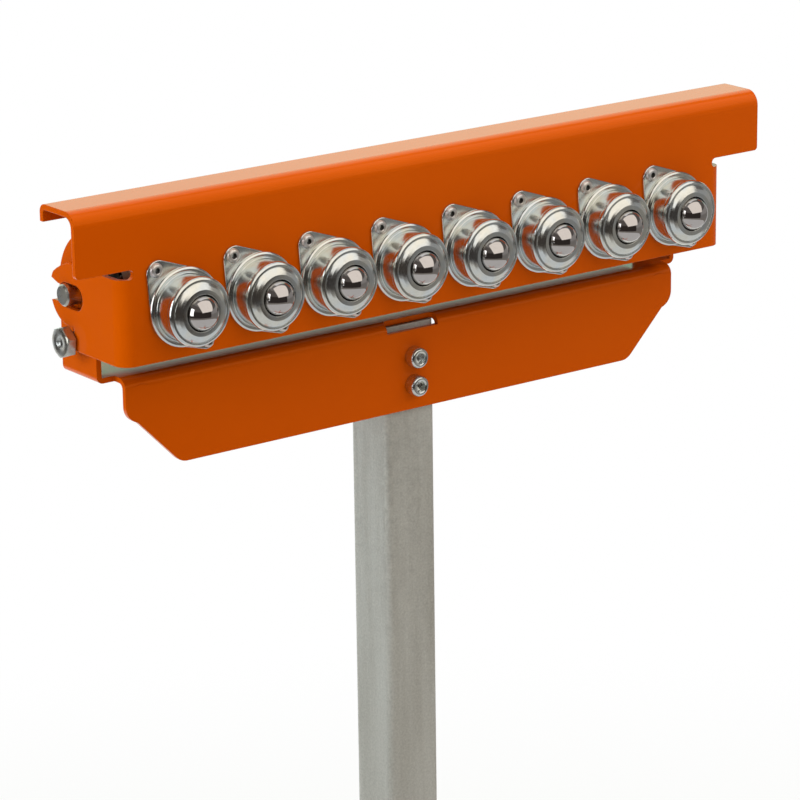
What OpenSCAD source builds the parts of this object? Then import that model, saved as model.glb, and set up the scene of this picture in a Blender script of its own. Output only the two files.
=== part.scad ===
// Roller stand with a three-way flip head on a telescoping post and four folding legs.
// Millimetres, +Z up. The origin is on the floor under the post's axis, and the head's face looks along -Y.

/* [Height] */
// Height of the column's lower end above the floor
column_foot = 120; // [100:5:150]
// Length of the outer column
column_len = 480; // [440:10:560]
// Length of post that shows between the column and the head's bracket
post_out = 270; // [230:5:300]

/* [Post and column] */
// Side of the square post
post_w = 28.6; // [26:0.2:32]
// Wall of the post
post_wall = 1.6; // [1.2:0.1:2.4]
// Outer corner radius of the post
post_corner = 3; // [2.5:0.1:4]
// Length of the post
post_len = 500; // [480:10:560]
// Wall of the outer column
column_wall = 1.6; // [1.2:0.1:2.4]
// Space between the post and the column, filled by the collar
column_gap = 1.6; // [1.4:0.1:2.4]
// Running clearance between the post and the plastic that guides it
guide_gap = 0.3; // [0.2:0.05:0.5]

/* [Bracket under the head] */
// Sheet thickness of the bracket
bracket_t = 2.5; // [2:0.25:3.5]
// Outer bend radius of the bracket
bracket_bend = 5; // [4.5:0.25:6]
// Distance from the panel's face back to the skirt's face
skirt_back = 21.1; // [16:0.1:24]
// Depth of the skirt below the bracket's floor
skirt_drop = 40.8; // [36:0.4:50]
// Distance of the skirt's ends inside the ears' outer faces
skirt_in = 9; // [7:0.5:14]
// Width that each end of the skirt loses down its slope
skirt_slope = 28; // [16:1:40]
// Width of each ear from front to back
ear_w = 28.4; // [27:0.2:33]
// Radius of the pointed arch that tops each ear
ear_arch_r = 28.6; // [26:0.2:34]
// Height of the axle above the bracket's underside
axle_rise = 39.2; // [38.5:0.2:44]

/* [Cradle] */
// Reach of the upper strip beyond each cheek
strip_out = 22; // [14:1:40]
// Sheet thickness of the cradle
sheet = 2.5; // [2:0.25:3]
// Outer bend radius of the cradle
bend_r = 7; // [6:0.25:8]
// Depth of the top flange, front to back
flange_d = 27.5; // [22:0.5:28]
// Depth of the lip at the back of the flange
lip_h = 8; // [7:0.5:10]
// Depth of the full-length strip above the relief notches
strip_h = 29; // [25:0.5:30]
// Space between a cheek and the ear inside it
cheek_gap = 2.5; // [1.5:0.25:3]
// Distance from the panel's face back to the axle
axle_set = 43.5; // [42:0.5:48]
// Height of the cradle's top above the axle
top_rise = 47.8; // [46:0.5:54]
// Distance from the axle down to the panel's lower edge
panel_drop = 24.7; // [22:0.5:27]
// Radius of the cheek's rear edge about the axle
cheek_arc_r = 14.3; // [13:0.25:15]
// Width of the pocket that hangs on the axle
pocket_w = 11.5; // [11:0.25:12.5]
// Reach of the pocket in front of the axle
pocket_reach = 12.3; // [9:0.5:14]
// Width of the pocket's rear mouth, which takes the stop pin
mouth_w = 8.2; // [7.5:0.1:9]

/* [Ball transfers] */
// Space between the flanges of two neighbouring cups
cup_gap = 4.4; // [3:0.2:6]
// Distance from the end balls to the ears' outer faces
row_in = 27; // [24:0.5:40]
// Diameter of the balls
ball_d = 15.88; // [15:0.1:16.5]
// Height of a ball's crown above the panel
ball_proud = 21.7; // [21:0.1:23]
// Distance of the row of balls below the axle
row_drop = 1.7; // [0:0.1:3]
// Diameter of the cup's front rim
rim_d = 31.2; // [30.6:0.1:32]
// Diameter of the cup's barrel
barrel_d = 30; // [29:0.1:30.4]
// Diameter of the cup's flange and of the bead on it
plate_d = 35.6; // [34:0.2:37]
// Thickness of the cup's flange plate
plate_t = 1.2; // [1:0.1:1.6]
// Distance from the ball's axis to its upper rivet
rivet_reach = 23.5; // [22.5:0.1:24]
// Distance from the ball's axis to its lower rivet
low_reach = 21.2; // [21:0.1:22.5]
// Lean of the upper ear and rivet from the vertical
plate_lean = 37.5; // [30:0.5:45]
// Lean of the lower ear and rivet from the vertical
low_lean = 33; // [25:0.5:45]
// Radius of the upper ear
plate_ear_r = 6; // [5:0.1:6.5]
// Radius of the lower ear
low_ear_r = 4.2; // [4:0.1:5]

/* [Roller] */
// Diameter of the roller
roller_d = 63.5; // [50:0.5:64]
// Space between each end of the roller's tube and the ear
roller_gap = 14.5; // [12:0.5:30]
// Wall of the roller's tube
roller_wall = 1.5; // [1.2:0.1:2.5]
// Diameter of the axle
axle_d = 10; // [9:0.5:10.5]
// Distance of the stop pins below the axle
stop_drop = 21.2; // [20:0.2:21.6]

/* [Legs] */
// Height of the leg pivots above the floor
hinge_z = 240; // [220:5:260]
// Lean of the legs from the vertical when they stand
leg_lean = 48; // [44:1:50]
// Outer width of a leg's channel
leg_w = 30; // [28:1:34]
// Depth of a leg's channel
leg_d = 20; // [18:1:22]
// Sheet thickness of a leg
leg_t = 2; // [1.5:0.25:2.5]
// Distance from the hub's face out to a leg's pivot
hinge_out = 17; // [16:0.5:20]

/* [Clamp] */
// Distance of the clamp screw below the column's top
clamp_drop = 60; // [50:1:80]
// Diameter of the clamp screw
clamp_d = 10; // [8:1:12]
// Radius of the knob over its lobes
knob_r = 24; // [20:0.5:28]

/* [Hidden] */
// Running clearance between a pin and its bore, on the radius
fit = 0.05;
// Clearance between pieces that rest beside each other
seat = 0.3;
// Overrun of every cut
over = 1;
// Facets of round pieces that come out as true cylinders
round_fn = 48;
BALL_COUNT = 8;
LEG_NAMES = ["right", "rear", "left", "front"];

// Post and column
column_in = post_w + 2 * column_gap;
column_w = column_in + 2 * column_wall;
column_corner = post_corner + column_gap / 2;
column_top = column_foot + column_len;
bracket_z = column_top + post_out;
post_foot = bracket_z - post_len;
collar_depth = 32;
collar_rim_h = 8;
collar_rim_out = 1.6;
glide_h = 20;
glide_plug = 22;
glide_gap = 0.25;
cap_plug = 10;
cap_t = 4;

// Clamp
clamp_z = column_top - clamp_drop;
weld_nut_r = 9;
weld_nut_h = 10;
knob_stand = 7;
knob_hub_r = 11;
knob_hub_h = 5;
knob_t = 18;
knob_lobes = 5;
knob_scallop_r = 9;
knob_dish_r = 12;
knob_dish = 3;

// Widths of the head, all from the row of balls
ball_pitch = plate_d + cup_gap;
ear_span = (BALL_COUNT - 1) * ball_pitch + 2 * row_in;
cheek_span = ear_span + 2 * (sheet + cheek_gap);
head_len = cheek_span + 2 * strip_out;
skirt_w = ear_span - 2 * skirt_in;
skirt_low_w = skirt_w - 2 * skirt_slope;
roller_len = ear_span - 2 * (bracket_t + roller_gap);

// Head: the axle is the line that the head is set out from
panel_y = -(post_w / 2 + bracket_t + skirt_back);
skirt_y = panel_y + skirt_back;
axle_y = panel_y + axle_set;
axle_z = bracket_z + axle_rise;
top_z = axle_z + top_rise;
panel_low = axle_z - panel_drop;
lip_y = panel_y + flange_d;
lip_bend = 1.6 * sheet;
strip_low = top_z - strip_h;
strip_corner = 1.8;
relief_r = (top_rise - cheek_arc_r - strip_h) / 2;
cheek_x = cheek_span / 2;
ear_x = ear_span / 2;
ear_shift = 0.6;
ear_front = axle_y + ear_shift - ear_w / 2;
ear_rear = axle_y + ear_shift + ear_w / 2;
arch_rise = 1.1;
ear_bend = 1.25 * bracket_t;
ear_foot_r = 5;
skirt_corner = 8;
shoulder_share = 0.3;
row_z = axle_z - row_drop;
axle_end = cheek_x + 3;

// Stop pins
stop_r = 4;
stop_z = axle_z - stop_drop;
stop_thread_r = 3;
stop_head_af = 13;
stop_head_h = 4.8;
stop_head_gap = 0.4;
stop_dish_r = 2.7;
stop_dish = 1.4;
stop_nut_af = 10;
stop_nut_h = 5;
stop_tail = 3;

// Pocket in the cheeks
pocket_r = pocket_w / 2;
pocket_sag = pocket_r - axle_d / 2 - seat;
mouth_start_share = 0.1;
mouth_flare = 6.6;
mouth_nib = 8;
mouth_tip = 1.2;
// Upper tooth of the cheek's rear edge, in Y and Z as shares of the arc's radius
tooth_shares = [[0.014, 0.993], [0.336, 0.865], [0.622, 0.712], [0.825, 0.573], [0.895, 0.505], [0.925, 0.44]];

// Screws that hold the bracket on the post
screw_r = 3;
screw_head_r = 4.95;
screw_head_h = 6;
screw_key_af = 5;
screw_key = 3;
screw_len = 14;
screw_drop = 15.3;
screw_gap = 13.6;
screw_nut_af = 10;
screw_nut_h = 5;
hole_play = 0.2;
slot_w = post_w + 0.6;
slot_r = 3;

// Ball cups
ball_r = ball_d / 2;
ball_h = ball_proud - ball_r;
ball_y = panel_y - ball_h;
seat_ball_r = 1.25;
seat_ball_count = 8;
seat_ball_lean = 52;
cavity_r = ball_r + 2 * seat_ball_r + 2 * fit;
plate_r = plate_d / 2;
rim_r = rim_d / 2;
barrel_r = barrel_d / 2;
bead_h = 1.2;
lip_up = 1.24;
mouth_step = 0.45;
// Bead: shares of the way from the barrel out to the flange's edge, and of the bead's height
bead_shares = [[1, 0.67], [0.89, 0.95], [0.75, 1], [0.57, 0.85], [0.21, 1.08], [0, 1.67]];
// Crimped cap: shares of the rim's radius, and of the height of the ball's centre
cap_shares = [[0.962, 0.771], [0.987, 0.778], [1, 0.828], [1, 0.916], [0.974, 0.967], [0.923, 1], [0.872, 1.003],
              [0.853, 1.025], [0.769, 1.105], [0.692, 1.163], [0.654, 1.177], [0.59, 1.163], [0.54, 1.134]];
// Rivets and flange ears, upper and lower: place in X and Z from the ball's axis, and radius
ear_inset = 2.2;
low_inset = 1;
rivet_at = [polar([0, 0], rivet_reach, 90 + plate_lean), polar([0, 0], low_reach, 270 + low_lean)];
ear_at = [polar([0, 0], rivet_reach - ear_inset, 90 + plate_lean), polar([0, 0], low_reach - low_inset, 270 + low_lean)];
ear_rs = [plate_ear_r, low_ear_r];
rivet_r = 1.6;
rivet_head_rs = [3.3, 2.6];
rivet_head_h = 1.3;
rivet_eye_r = 0.9;
rivet_eye = 0.9;
rivet_tail_r = 2.5;
rivet_tail_h = 2.2;

// Roller
roller_r = roller_d / 2;
roller_in = roller_r - roller_wall;
bearing_out = 15;
bearing_w = 9;
bearing_ring = 2;
bearing_balls = 8;
cap_depth = 12;
cap_lip = 1.5;
cap_web = 4;
spacer_r = 8;
clip_t = 1.2;
clip_r = 8.5;
ear_in = ear_x - bracket_t;

// Legs
hub_wall = 3;
hub_half = column_w / 2 + hub_wall;
hub_below = 25;
hub_above = 40;
hub_low = hinge_z - hub_below;
hub_high = hinge_z + hub_above;
hinge_r = hub_half + hinge_out;
lug_t = 3;
lug_r = 8.5;
leg_out = 11;
leg_in = leg_d - leg_out;
leg_head_r = 9;
hinge_bolt_r = 4;
hinge_af = 13;
hinge_head_h = 5.3;
hinge_nut_h = 8;
hinge_tail = 3;
leg_reach = 420;
foot_wall = 3;
foot_sole = 6;
foot_up = 46;

ORANGE = "#C24E05";
ZINC = "#B9BEBC";
GALVANISED = "#9A9C96";
CHROME = "#8D9094";
BLACK = "#242426";

// Place of ball number i along the head
function ball_x(i) = (i - (BALL_COUNT + 1) / 2) * ball_pitch;

// Radius of a ball's slice at a distance ahead of its centre
function ball_slice(ahead) = sqrt(ball_r * ball_r - ahead * ahead);

// Point at distance r and angle a from a centre
function polar(c, r, a) = [c[0] + r * cos(a), c[1] + r * sin(a)];

// Extrudes an outline drawn in Y and Z along X, centred
module along_x(len) {
    rotate([90, 0, 90])
        linear_extrude(len, center = true)
            children();
}

// Both ends of the head
module both_ends() {
    children();
    mirror([1, 0, 0])
        children();
}

module rod_x(r, len) {
    rotate([0, 90, 0])
        cylinder(r = r, h = len, $fn = round_fn);
}

// Hexagonal prism along X, across flats af
module hex_x(af, len) {
    rotate([0, 90, 0])
        cylinder(r = af / sqrt(3), h = len, $fn = 6);
}

module tube_x(r_out, r_in, len) {
    difference() {
        rod_x(r_out, len);
        translate([-over, 0, 0])
            rod_x(r_in, len + 2 * over);
    }
}

module rounded_square(side, r) {
    square([side, side - 2 * r], center = true);
    square([side - 2 * r, side], center = true);
    for (x = [-1, 1], y = [-1, 1])
        translate([x, y] * (side / 2 - r))
            circle(r, $fn = round_fn);
}

module square_tube(side, wall, corner, h) {
    linear_extrude(h)
        difference() {
            rounded_square(side, corner);
            rounded_square(side - 2 * wall, max(corner - wall, over / 2));
        }
}

// Convex outline round corner circles of radius r, whose centres run anticlockwise
module rounded_outline(centres, r) {
    polygon(centres);
    for (i = [0:len(centres) - 1]) {
        a = centres[i];
        b = centres[(i + 1) % len(centres)];
        n = [b[1] - a[1], a[0] - b[0]] * r / norm(b - a);
        polygon([a, a + n, b + n, b]);
        translate(a)
            circle(r, $fn = round_fn);
    }
}

// Quarter ring of sheet about a centre; side picks the quadrant
module sheet_bend(centre, r, t, side) {
    translate(centre)
        intersection() {
            difference() {
                circle(r, $fn = round_fn);
                circle(r - t, $fn = round_fn);
            }
            scale(side)
                square(r);
        }
}

// Section of the cradle's upper strip, top flange and lip, in Y and Z
module channel_section() {
    translate([panel_y, strip_low])
        square([sheet, strip_h - bend_r]);
    sheet_bend([panel_y + bend_r, top_z - bend_r], bend_r, sheet, [-1, 1]);
    translate([panel_y + bend_r, top_z - sheet])
        square([flange_d - bend_r - lip_bend, sheet]);
    sheet_bend([lip_y - lip_bend, top_z - lip_bend], lip_bend, sheet, [1, 1]);
    translate([lip_y - sheet, top_z - lip_h])
        square([sheet, lip_h - lip_bend]);
}

// Side outline of a cheek in Y and Z, with the arc, the pocket and the stop face
module cheek_outline() {
    translate([axle_y, axle_z])
        difference() {
            union() {
                translate([-axle_set + bend_r, -panel_drop])
                    square([axle_set - bend_r - stop_r - seat, panel_drop + cheek_arc_r]);
                translate([-stop_r - seat, 0])
                    square([stop_r + seat, cheek_arc_r]);
                circle(cheek_arc_r, $fn = 2 * round_fn);
            }
            translate([0, -pocket_sag])
                pocket();
            polygon(concat(
                [for (s = tooth_shares) s * cheek_arc_r],
                [[cheek_arc_r + over, tooth_shares[5][1] * cheek_arc_r], [cheek_arc_r + over, cheek_arc_r + over],
                 [tooth_shares[0][0] * cheek_arc_r, cheek_arc_r + over]]));
        }
}

// Pocket for the axle, with its narrower mouth at the rear
module pocket() {
    front = pocket_r - pocket_reach;
    rear = cheek_arc_r * mouth_start_share;
    for (y = [front, rear])
        translate([y, 0])
            circle(pocket_r, $fn = round_fn);
    translate([front, -pocket_r])
        square([rear - front, pocket_w]);
    polygon([[rear, -mouth_w / 2], [cheek_arc_r - 2 * mouth_tip, -mouth_w / 2],
             [cheek_arc_r - mouth_tip / 2, -mouth_w / 2 - mouth_tip / 3], [cheek_arc_r, -mouth_w / 2 - mouth_tip],
             [cheek_arc_r + over, -mouth_w / 2 - mouth_tip], [cheek_arc_r + over, mouth_flare], [mouth_nib, mouth_w / 2], [rear, mouth_w / 2]]);
}

module cheek() {
    cheek_h = panel_drop + cheek_arc_r;
    translate([0, 0, panel_low])
        linear_extrude(cheek_h)
            sheet_bend([cheek_x - bend_r, panel_y + bend_r], bend_r, sheet, [1, -1]);
    translate([cheek_x - sheet / 2, 0, 0])
        along_x(sheet)
            cheek_outline();
}

// Places of the upper (0) or lower (1) rivets, each with +Z out of the panel
module rivet_places(end) {
    for (i = [1:BALL_COUNT])
        translate([ball_x(i) + rivet_at[end][0], panel_y, row_z + rivet_at[end][1]])
            rotate([90, 0, 0])
                children();
}

// Turns an outline in X and Z into a cut or a plate through the panel's sheet
module through_panel(front, back) {
    translate([0, panel_y + back, 0])
        rotate([90, 0, 0])
            linear_extrude(back - front)
                children();
}

// What rounds a lower corner of the strip off
module strip_corner_cut() {
    translate([head_len / 2 - strip_corner, strip_low + strip_corner])
        difference() {
            translate([0, -strip_corner - over])
                square(strip_corner + over);
            circle(strip_corner, $fn = round_fn);
        }
}

module head_cradle() {
    relief_x = cheek_x - bend_r + relief_r;
    color(ORANGE)
        difference() {
            union() {
                along_x(head_len)
                    channel_section();
                translate([-cheek_x + bend_r, panel_y, panel_low])
                    cube([cheek_span - 2 * bend_r, sheet, strip_low + sheet - panel_low]);
                both_ends() {
                    cheek();
                    through_panel(0, sheet)
                        translate([cheek_x - bend_r - over, strip_low - 2 * relief_r])
                            square([relief_r + over, 2 * relief_r + over]);
                }
            }
            both_ends()
                through_panel(-over, sheet + over) {
                    strip_corner_cut();
                    translate([relief_x, strip_low - relief_r])
                        circle(relief_r, $fn = round_fn);
                }
            for (end = [0, 1])
                rivet_places(end)
                    translate([0, 0, -sheet - over])
                        cylinder(r = rivet_r, h = sheet + 2 * over, $fn = round_fn / 2);
        }
}

// Half section of a cup: r across, distance from the panel upwards
module cup_section() {
    cap_front = cap_shares[len(cap_shares) - 1][1] * ball_h;
    mouth_r = ball_r + mouth_step;
    difference() {
        polygon(concat(
            [[0, 0], [plate_r, 0]],
            [for (s = bead_shares) [barrel_r + s[0] * (plate_r - barrel_r), plate_t + s[1] * bead_h]],
            [for (s = cap_shares) [s[0] * rim_r, s[1] * ball_h]],
            [[0, cap_front]]));
        translate([0, ball_h])
            intersection() {
                circle(cavity_r, $fn = 2 * round_fn);
                translate([0, -cavity_r])
                    square(cavity_r);
            }
        polygon([
            [0, ball_h - over], [ball_r + fit, ball_h - over], [ball_r + fit, ball_h + seat],
            [ball_slice(lip_up) + fit, ball_h + lip_up], [mouth_r, ball_h + lip_up],
            [mouth_r, cap_front + over], [0, cap_front + over]]);
    }
}

// Flange plate of a cup: a disc and two ears joined by their common tangents
module plate_outline() {
    circle(plate_r, $fn = 2 * round_fn);
    for (end = [0, 1]) {
        ear = ear_at[end];
        lean = atan2(ear[1], ear[0]);
        t = acos((plate_r - ear_rs[end]) / norm(ear));
        translate(ear)
            circle(ear_rs[end], $fn = round_fn);
        polygon([polar([0, 0], plate_r, lean - t), polar(ear, ear_rs[end], lean - t),
                 polar(ear, ear_rs[end], lean + t), polar([0, 0], plate_r, lean + t), [0, 0]]);
    }
}

module ball_cup(i) {
    color(ZINC)
        translate([ball_x(i), panel_y, row_z])
            rotate([90, 0, 0])
                difference() {
                    union() {
                        linear_extrude(plate_t)
                            plate_outline();
                        rotate_extrude($fn = 2 * round_fn)
                            cup_section();
                    }
                    for (place = rivet_at)
                        translate([place[0], place[1], -over])
                            cylinder(r = rivet_r, h = plate_t + 2 * over, $fn = round_fn / 2);
                }
}

module ball(i) {
    color(CHROME)
        translate([ball_x(i), ball_y, row_z])
            sphere(ball_r, $fn = 2 * round_fn);
}

module cup_seat_balls() {
    reach = ball_r + seat_ball_r + fit;
    color(CHROME)
        for (i = [1:BALL_COUNT])
            translate([ball_x(i), ball_y, row_z])
                rotate([-90, 0, 0]) {
                    translate([0, 0, reach])
                        sphere(seat_ball_r, $fn = round_fn / 2);
                    for (k = [1:seat_ball_count])
                        rotate([0, seat_ball_lean, 360 * k / seat_ball_count])
                            translate([0, 0, reach])
                                sphere(seat_ball_r, $fn = round_fn / 2);
                }
}

module cup_rivets() {
    color(ZINC)
        for (end = [0, 1]) {
            head_r = rivet_head_rs[end];
            rivet_places(end)
                rotate_extrude($fn = round_fn / 2)
                    difference() {
                        union() {
                            translate([0, -sheet])
                                square([rivet_r, sheet + plate_t]);
                            translate([0, -sheet - rivet_tail_h])
                                square([rivet_tail_r, rivet_tail_h]);
                            polygon([[0, plate_t], [head_r, plate_t], [head_r, plate_t + rivet_head_h / 3],
                                     [(head_r + rivet_eye_r) / 2, plate_t + rivet_head_h],
                                     [0, plate_t + rivet_head_h]]);
                        }
                        translate([0, plate_t + rivet_head_h - rivet_eye])
                            square([rivet_eye_r, rivet_eye + over]);
                    }
        }
}

// Side outline of an ear in Y and Z: an upright topped by a pointed arch
module ear_outline() {
    spring = axle_z + arch_rise;
    translate([ear_front, bracket_z + ear_bend])
        square([ear_w, spring - bracket_z - ear_bend]);
    intersection() {
        translate([ear_rear - ear_arch_r, spring])
            circle(ear_arch_r, $fn = 2 * round_fn);
        translate([ear_front + ear_arch_r, spring])
            circle(ear_arch_r, $fn = 2 * round_fn);
        translate([ear_front, spring])
            square([ear_w, ear_arch_r]);
    }
}

// Outline of the skirt in X and Z, with sloping ends and round corners
module skirt_outline() {
    low = -skirt_drop;
    shoulder = low * shoulder_share;
    half = skirt_w / 2;
    half_low = skirt_low_w / 2;
    slope = atan2(shoulder - low, half - half_low);
    low_in = skirt_corner * tan(slope / 2);
    top_in = skirt_corner * tan((90 - slope) / 2);
    rounded_outline([
        [-half_low + low_in, low + skirt_corner],
        [half_low - low_in, low + skirt_corner],
        [half - skirt_corner, shoulder + top_in],
        [half - skirt_corner, -bracket_t - skirt_corner],
        [-half + skirt_corner, -bracket_t - skirt_corner],
        [-half + skirt_corner, shoulder + top_in]], skirt_corner);
    translate([-half, -skirt_corner - bracket_t])
        square([skirt_w, skirt_corner + bracket_t - (bracket_bend - bracket_t)]);
}

module head_bracket() {
    inner = bracket_bend - bracket_t;
    floor_y = skirt_y + bracket_bend;
    color(ORANGE)
        difference() {
            union() {
                translate([-skirt_w / 2, floor_y, bracket_z])
                    cube([skirt_w, ear_rear - floor_y, bracket_t]);
                translate([-ear_x + ear_bend, ear_front, bracket_z])
                    cube([ear_span - 2 * ear_bend, ear_w, bracket_t]);
                along_x(skirt_w)
                    sheet_bend([floor_y, bracket_z - inner], bracket_bend, bracket_t, [-1, 1]);
                translate([0, skirt_y + bracket_t, bracket_z])
                    rotate([90, 0, 0])
                        linear_extrude(bracket_t)
                            skirt_outline();
                both_ends() {
                    translate([0, ear_rear, 0])
                        rotate([90, 0, 0])
                            linear_extrude(ear_w)
                                sheet_bend([ear_x - ear_bend, bracket_z + ear_bend],
                                           ear_bend, bracket_t, [1, -1]);
                    translate([ear_x - bracket_t / 2, 0, 0])
                        along_x(bracket_t)
                            ear_outline();
                }
            }
            translate([0, 0, bracket_z - inner])
                linear_extrude(bracket_bend + over)
                    rounded_outline([
                        [-slot_w / 2 + slot_r, skirt_y - over],
                        [slot_w / 2 - slot_r, skirt_y - over],
                        [slot_w / 2 - slot_r, skirt_y + bracket_bend - slot_r],
                        [-slot_w / 2 + slot_r, skirt_y + bracket_bend - slot_r]], slot_r);
            screw_places()
                translate([0, 0, -bracket_t - over])
                    cylinder(r = screw_r + hole_play, h = bracket_t + 2 * over, $fn = round_fn);
            both_ends() {
                translate([ear_in - over, axle_y, axle_z])
                    rod_x(axle_d / 2 + fit, bracket_t + 2 * over);
                translate([ear_in - over, axle_y, stop_z])
                    rod_x(stop_thread_r + fit, bracket_t + 2 * over);
            }
        }
}

// The two screws through the skirt, each with +Z out of the skirt's face
module screw_places() {
    for (k = [0, 1])
        translate([0, skirt_y, bracket_z - screw_drop - k * screw_gap])
            rotate([90, 0, 0])
                children();
}

module bracket_screws() {
    color(ZINC)
        screw_places()
            difference() {
                union() {
                    cylinder(r = screw_head_r, h = screw_head_h, $fn = round_fn);
                    translate([0, 0, -screw_len])
                        cylinder(r = screw_r, h = screw_len, $fn = round_fn);
                }
                translate([0, 0, screw_head_h - screw_key])
                    cylinder(r = screw_key_af / sqrt(3), h = screw_key + over, $fn = 6);
            }
}

module bracket_nuts() {
    color(ZINC)
        screw_places()
            translate([0, 0, -bracket_t - post_wall - screw_nut_h])
                difference() {
                    cylinder(r = screw_nut_af / sqrt(3), h = screw_nut_h, $fn = 6);
                    translate([0, 0, -over])
                        cylinder(r = screw_r + fit, h = screw_nut_h + 2 * over, $fn = round_fn);
                }
}

module roller_tube() {
    color(ZINC)
        translate([-roller_len / 2, axle_y, axle_z])
            tube_x(roller_r, roller_in, roller_len);
}

// Pressed end cap: a cup that holds the bearing, with a lip over the tube's end
module roller_end_caps() {
    color(ZINC)
        translate([0, axle_y, axle_z])
            both_ends()
                translate([roller_len / 2, 0, 0])
                    rotate([0, 90, 0])
                        rotate_extrude($fn = 2 * round_fn)
                            polygon([
                                [bearing_out, cap_lip], [bearing_out, -bearing_w - cap_lip],
                                [bearing_out - bearing_ring, -bearing_w - cap_lip],
                                [bearing_out - bearing_ring, -bearing_w - cap_lip - cap_web / 2],
                                [bearing_out + cap_web / 2, -bearing_w - cap_lip - cap_web / 2],
                                [bearing_out + cap_web / 2, -cap_web + cap_lip],
                                [roller_in - cap_web / 2, -cap_web + cap_lip],
                                [roller_in - cap_web / 2, -cap_depth], [roller_in, -cap_depth],
                                [roller_in, 0], [roller_r - cap_lip / 2, 0], [roller_r - cap_lip, cap_lip]]);
}

// Places a bearing's near face at the cap's seat, +X outwards
module bearing_places() {
    translate([0, axle_y, axle_z])
        both_ends()
            translate([roller_len / 2 - bearing_w - cap_lip, 0, 0])
                children();
}

module bearing_outer_rings() {
    color(CHROME)
        bearing_places()
            tube_x(bearing_out, bearing_out - bearing_ring, bearing_w);
}

module bearing_inner_rings() {
    color(CHROME)
        bearing_places()
            tube_x(axle_d / 2 + bearing_ring, axle_d / 2, bearing_w);
}

module bearing_balls() {
    low = axle_d / 2 + bearing_ring;
    high = bearing_out - bearing_ring;
    color(CHROME)
        bearing_places()
            for (k = [1:bearing_balls])
                rotate([360 * k / bearing_balls, 0, 0])
                    translate([bearing_w / 2, 0, (low + high) / 2])
                        sphere((high - low) / 2 - fit, $fn = round_fn / 2);
}

module roller_axle() {
    chamfer = 0.8;
    color(ZINC)
        translate([-axle_end, axle_y, axle_z])
            rotate([0, 90, 0])
                rotate_extrude($fn = round_fn)
                    polygon([[0, 0], [axle_d / 2 - chamfer, 0], [axle_d / 2, chamfer],
                             [axle_d / 2, 2 * axle_end - chamfer], [axle_d / 2 - chamfer, 2 * axle_end],
                             [0, 2 * axle_end]]);
}

module axle_spacers() {
    start = roller_len / 2 - cap_lip;
    color(ZINC)
        translate([0, axle_y, axle_z])
            both_ends()
                translate([start, 0, 0])
                    tube_x(spacer_r, axle_d / 2, ear_in - clip_t - start);
}

// Open spring clips that keep the axle between the ears
module axle_clips() {
    color(CHROME)
        translate([0, axle_y, axle_z])
            both_ends()
                translate([ear_in - clip_t, 0, 0])
                    difference() {
                        tube_x(clip_r, axle_d / 2, clip_t);
                        translate([-over, -axle_d / 4, -clip_r - over])
                            cube([clip_t + 2 * over, axle_d / 2, clip_r + over]);
                    }
}

// Shoulder screws: the head keeps the cheek, the shoulder stops it
module stop_pins() {
    head_x = cheek_x + stop_head_gap;
    color(ZINC)
        translate([0, axle_y, stop_z])
            both_ends()
                difference() {
                    union() {
                        translate([head_x, 0, 0])
                            hex_x(stop_head_af, stop_head_h);
                        translate([ear_x, 0, 0])
                            rod_x(stop_r, head_x - ear_x);
                        translate([ear_in - stop_nut_h - stop_tail, 0, 0])
                            rod_x(stop_thread_r, bracket_t + stop_nut_h + stop_tail);
                    }
                    translate([head_x + stop_head_h - stop_dish, 0, 0])
                        rod_x(stop_dish_r, stop_dish + over);
                }
}

module stop_nuts() {
    color(ZINC)
        translate([0, axle_y, stop_z])
            both_ends()
                translate([ear_in - stop_nut_h, 0, 0])
                    difference() {
                        hex_x(stop_nut_af, stop_nut_h);
                        translate([-over, 0, 0])
                            rod_x(stop_thread_r + fit, stop_nut_h + 2 * over);
                    }
}

module inner_post() {
    color(GALVANISED)
        difference() {
            translate([0, 0, post_foot])
                square_tube(post_w, post_wall, post_corner, post_len);
            screw_places()
                translate([0, 0, -bracket_t - post_wall - over])
                    cylinder(r = screw_r + hole_play, h = post_wall + 2 * over, $fn = round_fn);
        }
}

// Plastic foot of the post, which slides in the column
module post_glide() {
    color(BLACK) {
        translate([0, 0, post_foot - glide_h])
            linear_extrude(glide_h)
                rounded_square(column_in - 2 * glide_gap, column_corner - column_wall);
        translate([0, 0, post_foot])
            square_tube(post_w - 2 * post_wall, post_wall, post_corner - post_wall, glide_plug);
    }
}

module outer_column() {
    color(ORANGE)
        difference() {
            translate([0, 0, column_foot])
                square_tube(column_w, column_wall, column_corner, column_len);
            translate([0, column_w / 2 + over, clamp_z])
                rotate([90, 0, 0])
                    cylinder(r = clamp_d / 2 + seat, h = column_wall + 2 * over, $fn = round_fn);
        }
}

// Plastic collar: a sleeve inside the column under a rim that sits on it
module column_collar() {
    bore = post_w + 2 * guide_gap;
    color(BLACK)
        difference() {
            union() {
                translate([0, 0, column_top - collar_depth])
                    linear_extrude(collar_depth)
                        rounded_square(column_in, column_corner - column_wall);
                translate([0, 0, column_top])
                    linear_extrude(collar_rim_h)
                        rounded_square(column_w + 2 * collar_rim_out, column_corner + collar_rim_out);
            }
            translate([0, 0, column_top - collar_depth - over])
                linear_extrude(collar_depth + collar_rim_h + 2 * over)
                    rounded_square(bore, post_corner + guide_gap);
        }
}

module column_end_cap() {
    color(BLACK) {
        translate([0, 0, column_foot - cap_t])
            linear_extrude(cap_t)
                rounded_square(column_w, column_corner);
        translate([0, 0, column_foot])
            square_tube(column_in, column_wall, column_corner - column_wall, cap_plug);
    }
}

// Local frame of the clamp: +Z out of the column's rear face
module clamp_place() {
    translate([0, column_w / 2, clamp_z])
        rotate([-90, 0, 0])
            children();
}

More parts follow.
